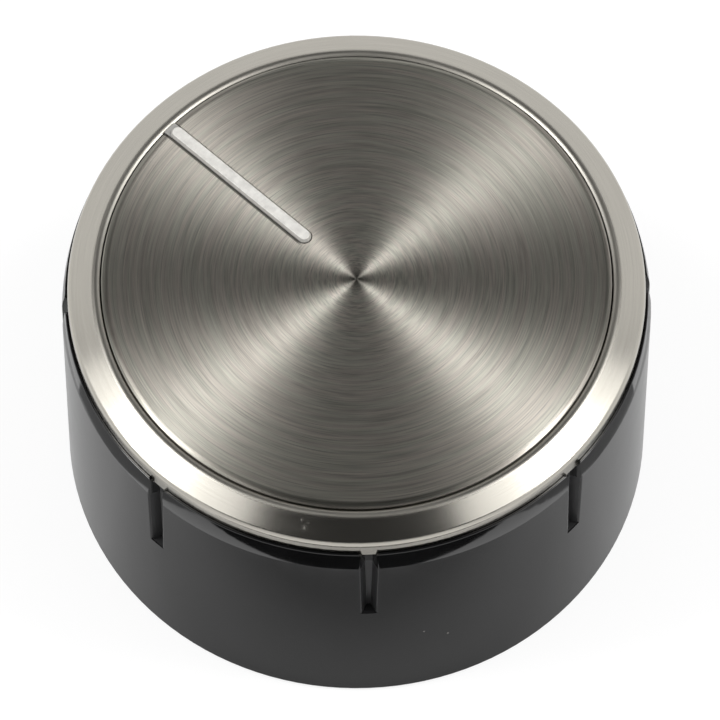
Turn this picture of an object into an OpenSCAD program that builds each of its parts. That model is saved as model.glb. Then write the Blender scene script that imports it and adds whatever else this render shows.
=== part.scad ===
// Cooker control knob with a satin ring, a brushed face and a raised pointer.
// The knob stands on its base rim. The origin is the centre of that rim, +Z is up and the pointer runs along +Y.

/* [Grip] */
// Diameter of the black grip
grip_d = 45; // [43:0.5:60]
// Height of the grip's rim above the base
grip_h = 22.95; // [21:0.05:30]
// Thickness of the side wall at the base
wall = 2; // [1.8:0.1:2.4]
// Height of the softly leaning shoulder under the rim
shoulder_h = 1.85; // [1.5:0.05:2]
// Lean of the shoulder at the rim, in degrees
shoulder_lean = 12; // [8:0.5:12]
// Number of grooves round the grip
groove_count = 8; // [4:1:12]
// Width of a groove where it ends, between its rounded edges
groove_w = 1.15; // [0.9:0.05:1.5]
// Extra width of a groove at the rim
groove_flare = 0.35; // [0.05:0.05:0.6]
// Depth of a groove
groove_depth = 0.85; // [0.5:0.05:0.9]
// Height at which a groove ends above the base
groove_end = 13.45; // [6:0.05:16]

/* [Ring] */
// Gap between the grip and the ring's lip, on the radius
ring_fit = 0.05; // [0.02:0.01:0.08]
// How far the ring's lip stands in from the side of the grip
ring_inset = 0.48; // [0.46:0.01:0.6]
// Width of the ring's face, seen from above
ring_w = 2.47; // [2.4:0.01:3.2]
// Height of the ring's lip above the rim
lip_h = 1.17; // [0.8:0.01:1.6]
// Rise of the ring's face from its lip to its inner edge
ring_rise = 1.28; // [0.8:0.01:1.8]
// Thickness of the ring's metal
ring_t = 0.6; // [0.5:0.05:0.7]
// Radius of the bend between the ring's lip and its face
ring_bend = 0.5; // [0.3:0.05:0.6]
// Radius to which stamping has rounded the ring's inner edge
ring_roll = 0.6; // [0.2:0.05:0.8]

/* [Face] */
// Gap between the face disc and the ring
face_gap = 0.13; // [0.1:0.01:0.3]
// Thickness of the face disc
face_t = 0.7; // [0.6:0.05:1]
// Radius to which stamping has rounded the face disc's edge
face_roll = 0.9; // [0.3:0.05:1]
// Thickness of the adhesive pad under the face disc
pad_t = 0.2; // [0.15:0.05:0.3]

/* [Pointer] */
// Width of the pointer at the face
pointer_w = 1.1; // [0.8:0.05:2]
// Height of the pointer above the face
pointer_h = 0.35; // [0.2:0.05:0.6]
// Width of the bevel along the pointer's edges
pointer_bevel = 0.16; // [0.05:0.01:0.2]
// Distance of the pointer's inner end from the middle
pointer_start = 4.87; // [3:0.05:8]

/* [Shaft socket] */
// Diameter of the socket's D part, for the valve's shaft
socket_d = 6.06; // [6:0.02:8]
// How much wider the socket's round entry is, on the radius
entry_play = 0.17; // [0.16:0.01:0.3]
// Distance of the socket's flat from its axis
socket_flat = 1.65; // [1.5:0.05:2.5]
// Height of the boss's tip above the base
boss_tip = 2; // [1:0.1:3]
// Diameter of the boss
boss_d = 12.4; // [12:0.1:14]
// Length of the socket's round entry, from the boss's tip
entry_l = 5; // [4:0.5:6]
// Depth of the whole socket
socket_l = 16; // [12:0.5:17]
// Thickness of the stiffening ribs
rib_t = 1.4; // [1:0.1:2]

/* [Hidden] */
$fn = 128;
slack = 1;
joint_fit = 0.05;

grip_r = grip_d / 2;
base_edge = 0.3;
rim_edge = 0.1;
shoulder_z = grip_h - shoulder_h;
shoulder_start = 4;
shoulder_round = shoulder_h / (sin(shoulder_lean) - sin(shoulder_start));
shoulder_c = [grip_r, shoulder_z] - shoulder_round * [cos(shoulder_start), sin(shoulder_start)];
wall_draft = 0.15;

lip_r = grip_r - ring_inset;
ring_r = lip_r - ring_w;
shelf_z = grip_h - 0.31;
lip_z = grip_h + lip_h;
ring_z = lip_z + ring_rise;
ring_slope = atan(ring_rise / ring_w);
under_drop = ring_t / cos(ring_slope);
stamped_turn = 35;

face_r = ring_r - face_gap;
face_z = ring_z - 0.07;
face_skirt_h = 1.75;
face_skirt_t = 0.6;
seat_r = face_r - face_skirt_t - joint_fit;
seat_z = face_z - face_t - pad_t;
pad_r = seat_r - 0.3;

groove_floor = 0.3;
groove_edge = 0.22;
groove_block = 10;
rim_round = 0.42;
dip_inset = 0.24;

deck_t = 1.95;
deck_z = shelf_z - deck_t;
seat_under_z = seat_z - deck_t;
seat_under_r = seat_r - deck_t;

slot_w = pointer_w + 0.16;
pointer_end = face_r - 0.3;
pointer_foot = 0.05;
pointer_wall = 0.1;
peg_d = 1.2;
peg_l = 1.7;
peg_near = pointer_start + 2.7;
peg_far = face_r - 4.5;

socket_r = socket_d / 2;
entry_r = socket_r + entry_play;
boss_r = boss_d / 2;
mouth_bevel = 0.4;
split_w = 1;
split_l = 10;
spring_t = 0.5;
spring_z = boss_tip + 0.9;
spring_h = 5.6;
spring_gap = 3;
neck_r = boss_r - spring_t;
neck_top = spring_z + spring_h + 0.3;
tip_r = neck_r + 0.35;
tip_bevel = 0.5;
spring_play = 0.1;
rib_count = 4;
rib_low_z = 5;
rib_high_z = neck_top + 0.4;
rib_step_r = 12;

// Points of an arc about c, from angle a to angle b, both ends included
function arc(c, r, a, b, n) = [for (i = [0 : n]) c + r * [cos(a + (b - a) * i / n), sin(a + (b - a) * i / n)]];

// The arc that rounds the corner p between the directions in_dir (arriving) and out_dir (leaving)
function round_corner(p, in_dir, out_dir, r, n) =
    let (turn = atan2(in_dir.x * out_dir.y - in_dir.y * out_dir.x, in_dir * out_dir))
    let (side = sign(turn))
    let (in_unit = in_dir / norm(in_dir))
    let (start = p - in_unit * r * tan(abs(turn) / 2))
    let (centre = start + side * r * [-in_unit.y, in_unit.x])
    let (first = atan2(start.y - centre.y, start.x - centre.x))
    arc(centre, r, first, first + turn, n);

// Section of the grip above the side wall: the rim, the shelf and rib that locate the ring, and the seat of the face
module grip_top_section() {
    rib_in = ring_r + ring_t + joint_fit;
    rib_out = lip_r - ring_t - joint_fit;
    rib_gap = 0.08;
    face_line = lip_z - under_drop - rib_gap;
    edge_turn = asin((grip_h - rim_edge - shoulder_c.y) / (shoulder_round - rim_edge));
    edge_c = shoulder_c + (shoulder_round - rim_edge) * [cos(edge_turn), sin(edge_turn)];
    edge = arc(edge_c, rim_edge, edge_turn, 90, 4);
    polygon(concat(
        [[0, shoulder_z], [grip_r, shoulder_z], [grip_r, edge[0].y]],
        edge,
        [
            [lip_r + ring_fit, grip_h],
            [lip_r + ring_fit, shelf_z],
            [rib_out, shelf_z],
            [rib_out, face_line + (lip_r - rib_out) * tan(ring_slope)],
            [rib_in, face_line + (lip_r - rib_in) * tan(ring_slope)],
            [rib_in, shelf_z],
            [seat_r, shelf_z],
            [seat_r, seat_z],
            [0, seat_z]
        ]
    ));
}

// The grip before it is hollowed and grooved. A large circle cuts the shoulder: it leaves the side at a slight
// angle and leans further in towards the rim
module grip_blank() {
    base = arc([grip_r - base_edge, base_edge], base_edge, -90, 0, 4);
    rotate_extrude() {
        polygon(concat([[0, 0]], base, [[grip_r, shoulder_z], [0, shoulder_z]]));
        intersection() {
            grip_top_section();
            translate(shoulder_c) circle(r = shoulder_round);
        }
    }
}

module grip_hollow() {
    translate([0, 0, -slack])
        cylinder(h = deck_z + slack, r1 = grip_r - wall, r2 = grip_r - wall - wall_draft);
    cylinder(h = seat_under_z, r = seat_under_r);
}

// Section of a groove: a V with a narrow flat floor, whose rounded edges run into the round side of the grip
module groove_section() {
    lean = atan((groove_w - groove_floor) / 2 / groove_depth);
    turn = asin(groove_w / 2 / grip_r);
    corner = grip_r * [sin(turn), cos(turn) - 1];
    edge = round_corner(corner, [sin(lean), cos(lean)], [cos(turn), -sin(turn)], groove_edge, 5);
    half = concat([[groove_floor / 2, -groove_depth]], edge, [[edge[5].x, slack]]);
    mirrored = [for (i = [len(half) - 1 : -1 : 0]) [-half[i].x, half[i].y]];
    polygon(concat(half, mirrored));
}

// One groove at +Y. Two slim cuts that lean apart make it a little wider towards the rim
module groove() {
    height = grip_h - groove_end;
    lean = atan(groove_flare / 2 / height);
    intersection() {
        for (side = [-1, 1])
            translate([0, grip_r, groove_end])
                rotate([0, side * lean, 0])
                    translate([0, 0, -slack])
                        linear_extrude(height + 3 * slack) groove_section();
        translate([-groove_block / 2, grip_r - groove_block / 2, groove_end])
            cube([groove_block, groove_block, height + slack]);
    }
    rim_dip();
}

// The rim's edge turns down into each groove in a small curve
module rim_dip() {
    half_w = (groove_w + groove_flare) / 2 - dip_inset;
    right = arc([half_w + rim_round, grip_h - rim_round], rim_round, 180, 90, 6);
    left = [for (i = [6 : -1 : 0]) [-right[i].x, right[i].y]];
    translate([0, grip_r + slack, 0])
        rotate([90, 0, 0])
            linear_extrude(groove_depth + slack)
                polygon(concat(right, [[half_w + rim_round, grip_h + slack]],
                    [[-half_w - rim_round, grip_h + slack]], left));
}

module grooves() {
    for (i = [0 : groove_count - 1])
        rotate([0, 0, 360 * i / groove_count]) groove();
}

// The boss: a plain post with a slim neck for the spring and a tapered tip that it snaps over
module boss_post() {
    rotate_extrude()
        polygon([
            [0, boss_tip],
            [tip_r - tip_bevel, boss_tip],
            [tip_r, boss_tip + tip_bevel],
            [tip_r, spring_z - spring_play],
            [neck_r, spring_z - spring_play],
            [neck_r, neck_top],
            [boss_r, neck_top],
            [boss_r, seat_under_z + slack],
            [0, seat_under_z + slack]
        ]);
}

// Round entry, then the D part whose flat faces the pointer side, and the slit that splits the boss
module shaft_socket() {
    translate([0, 0, boss_tip - slack])
        cylinder(h = entry_l + slack, r = entry_r);
    translate([0, 0, boss_tip - slack])
        cylinder(h = slack + mouth_bevel, r1 = entry_r + mouth_bevel + slack, r2 = entry_r);
    intersection() {
        translate([0, 0, boss_tip])
            cylinder(h = socket_l, r = socket_r);
        translate([-boss_r, socket_flat - boss_d, boss_tip])
            cube([boss_d, boss_d, socket_l]);
    }
    translate([-boss_d, -split_w / 2, boss_tip - slack])
        cube([2 * boss_d, split_w, split_l + slack]);
}

// A stiffening rib along +X, high near the boss so that the spring clears it
module rib() {
    outer = grip_r - wall + joint_fit;
    rotate([90, 0, 0])
        translate([0, 0, -rib_t / 2])
            linear_extrude(rib_t)
                polygon([
                    [boss_r - 1, rib_high_z],
                    [rib_step_r, rib_high_z],
                    [rib_step_r + rib_high_z - rib_low_z, rib_low_z],
                    [outer, rib_low_z],
                    [outer, deck_z + slack],
                    [seat_under_r + slack, deck_z + slack],
                    [seat_under_r + slack, seat_under_z + slack],
                    [boss_r - 1, seat_under_z + slack]
                ]);
}

module ribs() {
    for (i = [0 : rib_count - 1])
        rotate([0, 0, 45 + 360 * i / rib_count]) rib();
}

module peg_holes() {
    for (y = [peg_near, peg_far])
        translate([0, y, seat_under_z - slack])
            cylinder(h = deck_t + 2 * slack, d = peg_d + 2 * joint_fit);
}

module grip_body() {
    color("#1b1b1d")
        difference() {
            union() {
                difference() {
                    grip_blank();
                    grip_hollow();
                }
                boss_post();
                ribs();
            }
            shaft_socket();
            grooves();
            peg_holes();
        }
}

// Pressed ring: a lip, a conical face and a collar, with a bend at the lip and a stamped edge at the collar
module bezel_ring() {
    face_dir = [-ring_w, ring_rise];
    roll_r = ring_r + ring_roll * sin(stamped_turn);
    roll_z = lip_z + (lip_r - roll_r) * tan(ring_slope) - ring_roll / cos(ring_slope);
    color("#b4b2ab")
        rotate_extrude()
            polygon(concat(
                [[lip_r - ring_t, shelf_z], [lip_r, shelf_z]],
                round_corner([lip_r, lip_z], [0, 1], face_dir, ring_bend, 8),
                arc([roll_r, roll_z], ring_roll, 90 - ring_slope, 90 + stamped_turn, 8),
                [
                    [ring_r, shelf_z],
                    [ring_r + ring_t, shelf_z],
                    [ring_r + ring_t, lip_z - under_drop + (ring_w - ring_t) * tan(ring_slope)],
                    [lip_r - ring_t, lip_z - under_drop + ring_t * tan(ring_slope)]
                ]
            ));
}

// A slot from the pointer's inner end out past the edge
module pointer_slot(width) {
    start_y = pointer_start + pointer_w / 2;
    translate([0, start_y, 0]) cylinder(h = ring_z, d = width);
    translate([-width / 2, start_y, 0]) cube([width, grip_r, ring_z]);
}

// Pressed cap: a flat face with a stamped edge, a short skirt and a slot for the pointer
module face_disc() {
    skirt_r = face_r - face_skirt_t;
    skirt_z = face_z - face_skirt_h;
    roll_c = [face_r - face_roll * sin(stamped_turn), face_z - face_roll];
    color("#a8a69f")
        difference() {
            rotate_extrude()
                polygon(concat(
                    [[0, face_z - face_t], [skirt_r, face_z - face_t], [skirt_r, skirt_z], [face_r, skirt_z]],
                    arc(roll_c, face_roll, 90 - stamped_turn, 90, 8),
                    [[0, face_z]]
                ));
            pointer_slot(slot_w);
        }
}

module face_pad() {
    color("#d9d6cc")
        difference() {
            translate([0, 0, seat_z]) cylinder(h = pad_t, r = pad_r);
            pointer_slot(slot_w + 0.5);
        }
}

// Part of the pointer's bar between two heights: straight sides and round ends, both narrowed by inset at the top
module pointer_layer(low_z, high_z, inset) {
    half = pointer_w / 2;
    near_y = pointer_start + half;
    far_y = pointer_end - half;
    translate([0, far_y, 0])
        rotate([90, 0, 0])
            linear_extrude(far_y - near_y)
                polygon([[-half, low_z], [half, low_z], [half - inset, high_z], [inset - half, high_z]]);
    for (y = [near_y, far_y])
        translate([0, y, low_z])
            cylinder(h = high_z - low_z, r1 = half, r2 = half - inset);
}

// Raised bar with a bevel all round, on a low foot that runs out to the ring, with two pegs under it
module pointer_bar() {
    top = face_z + pointer_h;
    bevel_z = face_z + pointer_wall;
    foot_z = face_z - pointer_foot;
    half = pointer_w / 2;
    color("#dddbd5") {
        translate([-half, pointer_start + half, seat_z])
            cube([pointer_w, ring_r - joint_fit - pointer_start - half, foot_z - seat_z]);
        pointer_layer(seat_z, bevel_z, 0);
        pointer_layer(bevel_z, top, pointer_bevel);
        for (y = [peg_near, peg_far])
            translate([0, y, seat_z - peg_l])
                cylinder(h = peg_l + slack / 2, d = peg_d);
    }
}

module socket_spring() {
    color("#8f9296")
        difference() {
            translate([0, 0, spring_z])
                cylinder(h = spring_h, r = neck_r + joint_fit + spring_t);
            translate([0, 0, spring_z - slack])
                cylinder(h = spring_h + 2 * slack, r = neck_r + joint_fit);
            translate([-spring_gap / 2, -2 * boss_r, spring_z - slack])
                cube([spring_gap, 2 * boss_r, spring_h + 2 * slack]);
        }
}

grip_body();
bezel_ring();
face_disc();
pointer_bar();
face_pad();
socket_spring();
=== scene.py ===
"""Looks of a cooker control knob: its materials, the studio light and the camera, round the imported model."""

import math

import bpy
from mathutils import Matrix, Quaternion, Vector


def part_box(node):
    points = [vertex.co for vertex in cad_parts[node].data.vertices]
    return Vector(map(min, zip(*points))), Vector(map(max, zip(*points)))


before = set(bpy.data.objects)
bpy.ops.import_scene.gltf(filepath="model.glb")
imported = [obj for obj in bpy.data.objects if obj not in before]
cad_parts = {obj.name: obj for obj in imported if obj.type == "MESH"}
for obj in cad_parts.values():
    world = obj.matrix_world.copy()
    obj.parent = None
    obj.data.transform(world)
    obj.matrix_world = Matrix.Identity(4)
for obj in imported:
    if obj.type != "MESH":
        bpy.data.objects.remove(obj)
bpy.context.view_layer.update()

MM = 0.001
IMAGE_PX = 720

# Camera: where it stands round the knob, and the pixel at which it shows the middle of the knob's base
VIEW_AZIMUTH = math.radians(-47.5)
VIEW_ELEVATION = math.radians(63.05)
VIEW_ROLL = math.radians(0.12)
VIEW_DISTANCE = 717.4 * MM
SENSOR_MM = 36
FOCAL_PX = 9146
BASE_PIXEL = (356.45, 430.1)

# Directions of the studio, seen by the camera: to the right, towards the viewer, and up
TO_RIGHT = Vector((math.cos(VIEW_AZIMUTH), math.sin(VIEW_AZIMUTH), 0))
TO_VIEWER = Vector((math.sin(VIEW_AZIMUTH), -math.cos(VIEW_AZIMUTH), 0))
UP = Vector((0, 0, 1))

# Two softboxes hang level on the left and right, each with a brighter core, under a black ceiling and over a white
# floor. A box is its middle (metres to the side and towards the viewer), its height, size, turn and radiance
SOFTBOXES = {
    "softbox": ((0.410, 0.045), 0.50, (0.44, 0.41), 0.0, 2.1),
    "core": ((0.360, 0.045), 0.49, (0.35, 0.12), math.radians(31), 11.0),
}
CEILING_HEIGHT = 0.62
CEILING_RADIUS = 0.82
CEILING_TONE = 0.02
WORLD_STRENGTH = 1.0
FLOOR_SIZE = 12
FLOOR_TONE = 0.8
FLOOR_GLOW = 0.76
FLOOR_SHADOW_SHARE = 0.28
CARD_LIFT = 0.1 * MM

# What the knob's side mirrors of the floor: a round mat with painted shade of the floor round the knob, darker
# towards the viewer, and the table's edges
SHADE_MAT_RADIUS = 33.3 * MM
SHADE_MAT_BACK = (10 * MM, 0.72)
SHADE_MAT_FRONT = (30 * MM, 0.20)
TABLE_FRONT = 35.6 * MM
TABLE_SIDE = 31.5 * MM
TABLE_BACK = 0.0
FRONT_END = 52 * MM
FRONT_HALF = 32 * MM
SIDE_END = 41 * MM
SIDE_TONE = 0.3

# Small marks of wear: their places (millimetres to the camera's right, towards the viewer and up) and sizes; and a
# painted shade line beside the pointer's slot
RING_SMUDGES = (
    ((-3.9, 20.7, 24.6), 0.32),
    ((-4.1, 20.2, 24.9), 0.22),
    ((-3.6, 20.4, 24.8), 0.16),
)
FACE_SPECKS = (
    ((5.2, 3.9, 25.36), 0.1),
    ((5.5, 4.2, 25.36), 0.09),
    ((2.7, 9.05, 25.36), 0.1),
    ((3.0, 8.5, 25.36), 0.07),
)
# Painted shade in the gap beside the pointer bar: across the knob's frame at this x, from this y outwards
SLOT_SHADE_X = -0.68 * MM
SLOT_SHADE_Y = 5.0 * MM
GRIP_SPECKS = (
    ((-13.7, 17.85, 6.3), 0.12),
    ((5.2, 21.89, 9.1), 0.11),
    ((7.04, 21.37, 7.75), 0.1),
)

# Colours of the finishes and of their marks
GRIP_BLACK = (0.005, 0.005, 0.0052)
GRIP_DUST = (0.5, 0.48, 0.45, 1)
RING_METAL = (0.45, 0.43, 0.385)
RING_SMUDGE = (0.75, 0.72, 0.68, 1)
FACE_WARM = (0.63, 0.585, 0.52, 1)
FACE_COOL = (0.605, 0.59, 0.515, 1)
FACE_NICK = (0.85, 0.83, 0.78, 1)
BAR_METAL = (0.84, 0.825, 0.78)
PAD_FOAM = (0.7, 0.68, 0.6)
SPRING_METAL = (0.42, 0.42, 0.43)

# Where a finish changes, and where painted light and shade begin and end: from and to which height, or which
# distance from the axis
GROOVE_TOP = (20.8 * MM, 21.0 * MM)
GROOVE_MOUTH = (22.38 * MM, 22.46 * MM)
RING_CROWN = (20.0 * MM, 20.25 * MM)
FACE_HUB = (0.2 * MM, 1.3 * MM)
# The face's rolled edge beside the gap to the ring is painted darker: painted shade
FACE_EDGE_SHADE = (18.85 * MM, 19.05 * MM)
# The pointer bar's sides below its top are painted darker: painted shade
BAR_SHADE_DEPTH = 0.07 * MM
BAR_SHADE_FADE = 0.05 * MM


def add(tree, kind, inputs=None, **settings):
    """Adds a shader node. inputs maps its sockets to values or to other nodes' outputs."""
    node = tree.nodes.new(kind)
    for name, value in settings.items():
        setattr(node, name, value)
    for key, value in (inputs or {}).items():
        if isinstance(value, bpy.types.NodeSocket):
            tree.links.new(value, node.inputs[key])
        else:
            node.inputs[key].default_value = value
    return node


def math_node(tree, operation, *values, clamp=False):
    """The output of a Math node."""
    return add(tree, "ShaderNodeMath", dict(enumerate(values)), operation=operation, use_clamp=clamp).outputs[0]


def new_material(name):
    """A material with an empty node tree and its output node."""
    material = bpy.data.materials.new(name)
    material.use_nodes = True
    material.node_tree.nodes.clear()
    return material, material.node_tree, material.node_tree.nodes.new("ShaderNodeOutputMaterial")


def surface(tree, output, base, roughness, normal=None, tangent=None, **constants):
    """Ends a material with a Principled BSDF. Constants go on the shader's own sockets."""
    inputs = {"Base Color": base, "Roughness": roughness}
    inputs.update({name.replace("_", " "): value for name, value in constants.items()})
    if normal is not None:
        inputs["Normal"] = normal
    if tangent is not None:
        inputs["Tangent"] = tangent
    shader = add(tree, "ShaderNodeBsdfPrincipled", inputs)
    tree.links.new(shader.outputs[0], output.inputs["Surface"])


def ramp(tree, value, low, high, out_low=0.0, out_high=1.0):
    """Maps value from low..high to out_low..out_high, and no further."""
    inputs = {"Value": value, "From Min": low, "From Max": high, "To Min": out_low, "To Max": out_high}
    return add(tree, "ShaderNodeMapRange", inputs, clamp=True).outputs[0]


def tint(tree, colour, factor):
    """A constant colour, made darker or lighter by factor."""
    inputs = {0: colour[:3], "Scale": factor}
    return add(tree, "ShaderNodeVectorMath", inputs, operation="SCALE").outputs[0]


def bump(tree, height, distance, strength=1.0):
    """A normal from a height between 0 and 1 that stands for distance metres."""
    inputs = {"Height": height, "Distance": distance, "Strength": strength}
    return add(tree, "ShaderNodeBump", inputs).outputs[0]


def position(tree):
    """The point in the knob's own frame, in metres."""
    return add(tree, "ShaderNodeTexCoord").outputs["Object"]


def noise(tree, vector, scale, detail=2.0, rough=0.5):
    inputs = {"Vector": vector, "Scale": scale, "Detail": detail, "Roughness": rough}
    return add(tree, "ShaderNodeTexNoise", inputs).outputs["Fac"]


def axis_way(tree):
    """The vector from the knob's axis to the point, level, and its length."""
    flat = add(tree, "ShaderNodeVectorMath", {0: position(tree), 1: (1, 1, 0)}, operation="MULTIPLY").outputs[0]
    return flat, add(tree, "ShaderNodeVectorMath", {0: flat}, operation="LENGTH").outputs["Value"]


def turned_noise(tree, lines_per_mm, cells_round, detail=2.0, rough=0.5):
    """Noise drawn out into arcs round the knob's axis, as a spun pad leaves it, with no seam."""
    flat, radius = axis_way(tree)
    rise = add(tree, "ShaderNodeSeparateXYZ", {0: position(tree)}).outputs["Z"]
    way = add(tree, "ShaderNodeVectorMath", {0: flat}, operation="NORMALIZE").outputs[0]
    wide = add(tree, "ShaderNodeVectorMath", {0: way, "Scale": cells_round}, operation="SCALE").outputs[0]
    across = math_node(tree, "MULTIPLY", math_node(tree, "SUBTRACT", radius, rise), lines_per_mm / MM)
    lift = add(tree, "ShaderNodeCombineXYZ", {"Z": across}).outputs[0]
    spot = add(tree, "ShaderNodeVectorMath", {0: wide, 1: lift}, operation="ADD").outputs[0]
    return noise(tree, spot, 1.0, detail, rough)


def blend_noises(tree, layers):
    """A sum of turned noises. Each layer is its share, its lines in a millimetre and its cells round the axis."""
    total = 0.0
    for share, lines_per_mm, cells_round in layers:
        total = math_node(tree, "MULTIPLY_ADD", turned_noise(tree, lines_per_mm, cells_round), share, total)
    return total


def radial_tangent(tree):
    return add(tree, "ShaderNodeTangent", direction_type="RADIAL", axis="Z").outputs[0]


def speck_mask(tree, marks):
    """1 on each small mark and 0 elsewhere, with uneven edges."""
    point = position(tree)
    edge = ramp(tree, noise(tree, point, 6000, 2.0), 0.35, 0.65)
    total = 0.0
    for (right, toward, up), size in marks:
        place = studio_point(right * MM, toward * MM, up * MM)
        away = add(tree, "ShaderNodeVectorMath", {0: point, 1: place}, operation="DISTANCE").outputs["Value"]
        spot = ramp(tree, away, 0.1 * size * MM, size * MM, 1.0, 0.0)
        total = math_node(tree, "MAXIMUM", math_node(tree, "MULTIPLY", spot, edge), total)
    return total


def mixed(tree, factor, colour, other):
    """colour where factor is 0, other where it is 1."""
    inputs = {0: factor, 6: colour, 7: other}
    return add(tree, "ShaderNodeMix", inputs, data_type="RGBA").outputs[2]


def slot_painted_shade(tree):
    """Painted shade: darkens the face along the side of the pointer's slot, in the gap beside the bar."""
    part = add(tree, "ShaderNodeSeparateXYZ", {0: position(tree)})
    beside = math_node(tree, "ABSOLUTE", math_node(tree, "SUBTRACT", part.outputs["X"], SLOT_SHADE_X))
    line = ramp(tree, beside, 0.05 * MM, 0.12 * MM, 1.0, 0.0)
    along = ramp(tree, part.outputs["Y"], SLOT_SHADE_Y, SLOT_SHADE_Y + 0.5 * MM)
    return ramp(tree, math_node(tree, "MULTIPLY", line, along), 0.0, 1.0, 1.0, 0.2)


def gloss_plastic():
    material, tree, output = new_material("black_gloss_plastic")
    point = position(tree)
    cloud = noise(tree, point, 180, 3.0)
    height = add(tree, "ShaderNodeSeparateXYZ", {0: point}).outputs["Z"]
    low = ramp(tree, height, *GROOVE_TOP, 1.0, 0.0)
    groove = math_node(tree, "MULTIPLY", ramp(tree, axis_way(tree)[1], *GROOVE_MOUTH, 1.0, 0.0), low)
    # Painted reflection: the grooves' colour lifted fourfold, for the lighter strips their walls mirror; their
    # added roughness is real
    lift = ramp(tree, groove, 0.0, 1.0, 1.0, 4.0)
    shade = math_node(tree, "MULTIPLY", ramp(tree, cloud, 0.3, 0.7, 0.8, 1.2), lift)
    base = mixed(tree, speck_mask(tree, GRIP_SPECKS), tint(tree, GRIP_BLACK, shade), GRIP_DUST)
    polish = ramp(tree, noise(tree, point, 420, 4.0, 0.6), 0.3, 0.7, 0.06, 0.12)
    roughness = math_node(tree, "ADD", polish, ramp(tree, groove, 0.0, 1.0, 0.0, 0.25))
    normal = bump(tree, noise(tree, point, 700, 1.0), 0.0006 * MM)
    surface(tree, output, base, roughness, normal, IOR=1.5)
    return material


def satin_ring_metal():
    material, tree, output = new_material("satin_ring_metal")
    arcs = blend_noises(tree, ((0.5, 5.0, 3.0), (0.5, 12.0, 6.0)))
    crown = ramp(tree, axis_way(tree)[1], *RING_CROWN)
    # Painted shade: the ring darker inside its crown, towards the gap at the face's edge; the higher roughness
    # there is real
    crown_painted_shade = ramp(tree, crown, 0.0, 1.0, 0.8, 1.0)
    shade = math_node(tree, "MULTIPLY", ramp(tree, arcs, 0.3, 0.7, 0.93, 1.06), crown_painted_shade)
    smudge = math_node(tree, "MULTIPLY", speck_mask(tree, RING_SMUDGES), 0.4)
    base = mixed(tree, smudge, tint(tree, RING_METAL, shade), RING_SMUDGE)
    dull = ramp(tree, crown, 0.0, 1.0, 1.9, 1.0)
    polish = math_node(tree, "MULTIPLY", ramp(tree, arcs, 0.3, 0.7, 0.18, 0.21), dull)
    roughness = math_node(tree, "MULTIPLY_ADD", smudge, 0.35, polish)
    surface(tree, output, base, roughness, Metallic=1.0)
    return material


def brushed_face_metal():
    material, tree, output = new_material("brushed_face_metal")
    lines = blend_noises(tree, ((0.35, 5.0, 2.2), (0.45, 11.0, 4.0), (0.2, 1.6, 1.2)))
    shade = ramp(tree, lines, 0.38, 0.62, 0.62, 1.38)
    radius = axis_way(tree)[1]
    hub = ramp(tree, radius, *FACE_HUB, 0.25, 1.0)
    # Painted shade: the face's rolled edge, next to the gap to the ring, at half brightness
    edge = ramp(tree, radius, *FACE_EDGE_SHADE, 1.0, 0.5)
    shade = math_node(tree, "MULTIPLY", shade, math_node(tree, "MULTIPLY", hub, edge))
    # painted shade in the gap beside the pointer bar
    shade = math_node(tree, "MULTIPLY", shade, slot_painted_shade(tree))
    hue = ramp(tree, turned_noise(tree, 2.3, 1.7), 0.4, 0.6)
    metal = mixed(tree, hue, FACE_WARM, FACE_COOL)
    tinted = add(tree, "ShaderNodeVectorMath", {0: metal, "Scale": shade}, operation="SCALE").outputs[0]
    base = mixed(tree, speck_mask(tree, FACE_SPECKS), tinted, FACE_NICK)
    roughness = ramp(tree, lines, 0.38, 0.62, 0.36, 0.30)
    brushing = {"Anisotropic": 0.9, "Anisotropic_Rotation": 0.25}
    surface(tree, output, base, roughness, None, radial_tangent(tree), Metallic=1.0, **brushing)
    return material


def bright_bar_metal():
    material, tree, output = new_material("bright_bar_metal")
    point = position(tree)
    cloud = noise(tree, point, 2200, 3.0)
    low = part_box("pointer_bar")[1].z - BAR_SHADE_DEPTH
    height = add(tree, "ShaderNodeSeparateXYZ", {0: point}).outputs["Z"]
    # Painted shade: the bar's sides below its top at half brightness, as its steep bevels catch less light
    side = ramp(tree, height, low, low + BAR_SHADE_FADE, 0.5, 1.0)
    shade = math_node(tree, "MULTIPLY", ramp(tree, cloud, 0.3, 0.7, 0.86, 1.08), side)
    base = tint(tree, BAR_METAL, shade)
    roughness = ramp(tree, noise(tree, point, 900, 2.0), 0.3, 0.7, 0.34, 0.46)
    surface(tree, output, base, roughness, Metallic=0.35)
    return material


def foam_pad():
    material, tree, output = new_material("foam_pad")
    cells = noise(tree, position(tree), 4000, 2.0)
    base = tint(tree, PAD_FOAM, ramp(tree, cells, 0.3, 0.7, 0.85, 1.1))
    surface(tree, output, base, ramp(tree, cells, 0.3, 0.7, 0.8, 0.95), bump(tree, cells, 0.02 * MM))
    return material


def spring_steel():
    material, tree, output = new_material("spring_steel")
    rolled = turned_noise(tree, 6.0, 6.0, 3.0)
    base = tint(tree, SPRING_METAL, ramp(tree, rolled, 0.3, 0.7, 0.88, 1.1))
    roughness = ramp(tree, rolled, 0.3, 0.7, 0.26, 0.36)
    surface(tree, output, base, roughness, Metallic=1.0)
    return material


def studio_point(right, toward, up):
    """A place in the studio, from metres to the camera's right, towards the viewer, and up."""
    return TO_RIGHT * right + TO_VIEWER * toward + UP * up


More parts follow.
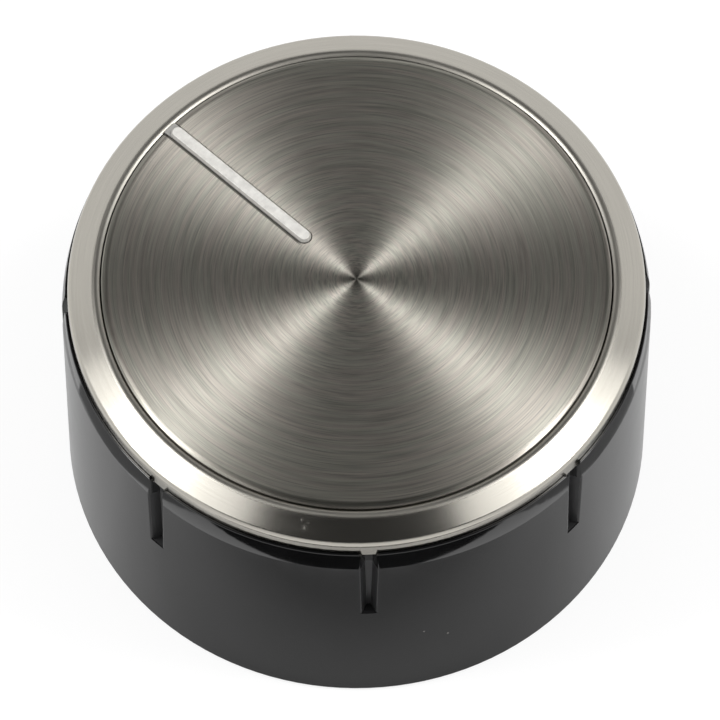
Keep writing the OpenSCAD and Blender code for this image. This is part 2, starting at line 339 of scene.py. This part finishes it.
def level_card(name, points, height, tone):
    """A flat card that lies level in the studio, unseen by the camera, and its node tree and shader."""
    mesh = bpy.data.meshes.new(name)
    mesh.from_pydata([studio_point(x, y, height) for x, y in points], [], [range(len(points))])
    card = bpy.data.objects.new(name, mesh)
    bpy.context.scene.collection.objects.link(card)
    material, tree, output = new_material(name)
    paint = add(tree, "ShaderNodeBsdfDiffuse", {"Color": (tone, tone, tone, 1)})
    tree.links.new(paint.outputs[0], output.inputs["Surface"])
    mesh.materials.append(material)
    card.visible_camera = False
    return card, tree, paint


def circle_points(radius, count=96):
    turns = [2 * math.pi * i / count for i in range(count)]
    return [(radius * math.cos(turn), radius * math.sin(turn)) for turn in turns]


def box_points(left, right, back, front):
    return [(left, back), (right, back), (right, front), (left, front)]


def add_floor_cards():
    """The mat with painted floor shade and the dark beyond the table's front and sides, which only polished
    surfaces see.
    """
    floor_shade_mat, tree, paint = level_card("floor_shade_mat", circle_points(SHADE_MAT_RADIUS), CARD_LIFT, 0.0)
    # Painted shade: the mat's grey stands for the floor shaded by the knob, darker towards the viewer
    near = add(tree, "ShaderNodeVectorMath", {0: position(tree), 1: TO_VIEWER}, operation="DOT_PRODUCT")
    painted_floor_shade = ramp(tree, near.outputs["Value"], SHADE_MAT_BACK[0], SHADE_MAT_FRONT[0], SHADE_MAT_BACK[1], SHADE_MAT_FRONT[1])
    tree.links.new(painted_floor_shade, paint.inputs["Color"])
    beyond = {
        "dark_front": ((-FRONT_HALF, FRONT_HALF, TABLE_FRONT, FRONT_END), 0.0),
        "dark_left": ((-SIDE_END, -TABLE_SIDE, TABLE_BACK, TABLE_FRONT), SIDE_TONE),
        "dark_right": ((TABLE_SIDE, SIDE_END, TABLE_BACK, TABLE_FRONT), SIDE_TONE),
    }
    cards = [level_card(name, box_points(*sides), CARD_LIFT, tone)[0] for name, (sides, tone) in beyond.items()]
    for card in (floor_shade_mat, *cards):
        card.visible_diffuse = False
        card.visible_shadow = False


def seen_directly(tree):
    """1 for rays of the camera and for what polished or clear surfaces show, else 0."""
    path = add(tree, "ShaderNodeLightPath").outputs
    mirrored = math_node(tree, "ADD", path["Is Glossy Ray"], path["Is Transmission Ray"])
    return math_node(tree, "ADD", path["Is Camera Ray"], mirrored, clamp=True)


def add_floor():
    """A white floor. Seen directly it glows up to white, and keeps a share of its own light and shadow."""
    half = FLOOR_SIZE / 2
    mesh = bpy.data.meshes.new("floor")
    mesh.from_pydata([(-half, -half, 0), (half, -half, 0), (half, half, 0), (-half, half, 0)], [], [(0, 1, 2, 3)])
    floor = bpy.data.objects.new("floor", mesh)
    bpy.context.scene.collection.objects.link(floor)
    material, tree, output = new_material("floor")
    paper = add(tree, "ShaderNodeBsdfDiffuse", {"Color": (FLOOR_TONE, FLOOR_TONE, FLOOR_TONE, 1)})
    shade = FLOOR_SHADOW_SHARE
    faint = add(tree, "ShaderNodeBsdfDiffuse", {"Color": (shade, shade, shade, 1)})
    glow = add(tree, "ShaderNodeEmission", {"Strength": FLOOR_GLOW})
    white = add(tree, "ShaderNodeAddShader", {0: faint.outputs[0], 1: glow.outputs[0]})
    mix = add(tree, "ShaderNodeMixShader", {0: seen_directly(tree), 1: paper.outputs[0], 2: white.outputs[0]})
    tree.links.new(mix.outputs[0], output.inputs["Surface"])
    material.cycles.emission_sampling = "NONE"
    mesh.materials.append(material)


def add_world():
    world = bpy.data.worlds.new("studio")
    world.use_nodes = True
    background = world.node_tree.nodes["Background"]
    background.inputs["Color"].default_value = (1, 1, 1, 1)
    background.inputs["Strength"].default_value = WORLD_STRENGTH
    bpy.context.scene.world = world


def add_softboxes():
    """The level lamps, once on the right (side 1) and mirrored on the left (side -1)."""
    for name, (middle, height, (width, depth), turn, radiance) in SOFTBOXES.items():
        for end, side in (("left", -1), ("right", 1)):
            light = bpy.data.lights.new(f"{name}_{end}", "AREA")
            light.shape = "RECTANGLE"
            light.size = width
            light.size_y = depth
            light.energy = radiance * math.pi * width * depth
            lamp = bpy.data.objects.new(light.name, light)
            bpy.context.scene.collection.objects.link(lamp)
            lamp.location = studio_point(side * middle[0], middle[1], height)
            lamp.rotation_euler = (0, 0, VIEW_AZIMUTH - side * turn)
            lamp.visible_camera = False


def add_camera():
    """The camera turns so that the middle of the knob's base falls on its pixel, with no lens shift."""
    back = (TO_VIEWER * math.cos(VIEW_ELEVATION) + UP * math.sin(VIEW_ELEVATION)).normalized()
    image_up = back.cross(TO_RIGHT)
    per_pixel = VIEW_DISTANCE / FOCAL_PX
    middle = IMAGE_PX / 2
    aim = (TO_RIGHT * (middle - BASE_PIXEL[0]) + image_up * (BASE_PIXEL[1] - middle)) * per_pixel
    eye = back * VIEW_DISTANCE
    lens = bpy.data.cameras.new("camera")
    lens.sensor_width = SENSOR_MM
    lens.lens = FOCAL_PX / IMAGE_PX * SENSOR_MM
    camera = bpy.data.objects.new("camera", lens)
    bpy.context.scene.collection.objects.link(camera)
    camera.location = eye
    camera.rotation_mode = "QUATERNION"
    camera.rotation_quaternion = (aim - eye).to_track_quat("-Z", "Y") @ Quaternion((0, 0, 1), VIEW_ROLL)
    bpy.context.scene.camera = camera


def dress_nodes():
    """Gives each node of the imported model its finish."""
    finishes = {
        "grip_body": gloss_plastic,
        "bezel_ring": satin_ring_metal,
        "face_disc": brushed_face_metal,
        "pointer_bar": bright_bar_metal,
        "face_pad": foam_pad,
        "socket_spring": spring_steel,
    }
    for name, make in finishes.items():
        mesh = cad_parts[name].data
        material = make()
        for i in range(len(mesh.materials)):
            mesh.materials[i] = material


add_camera()
add_world()
add_floor()
level_card("ceiling", circle_points(CEILING_RADIUS), CEILING_HEIGHT, CEILING_TONE)
add_floor_cards()
add_softboxes()
dress_nodes()
bpy.context.scene.view_settings.view_transform = "Standard"
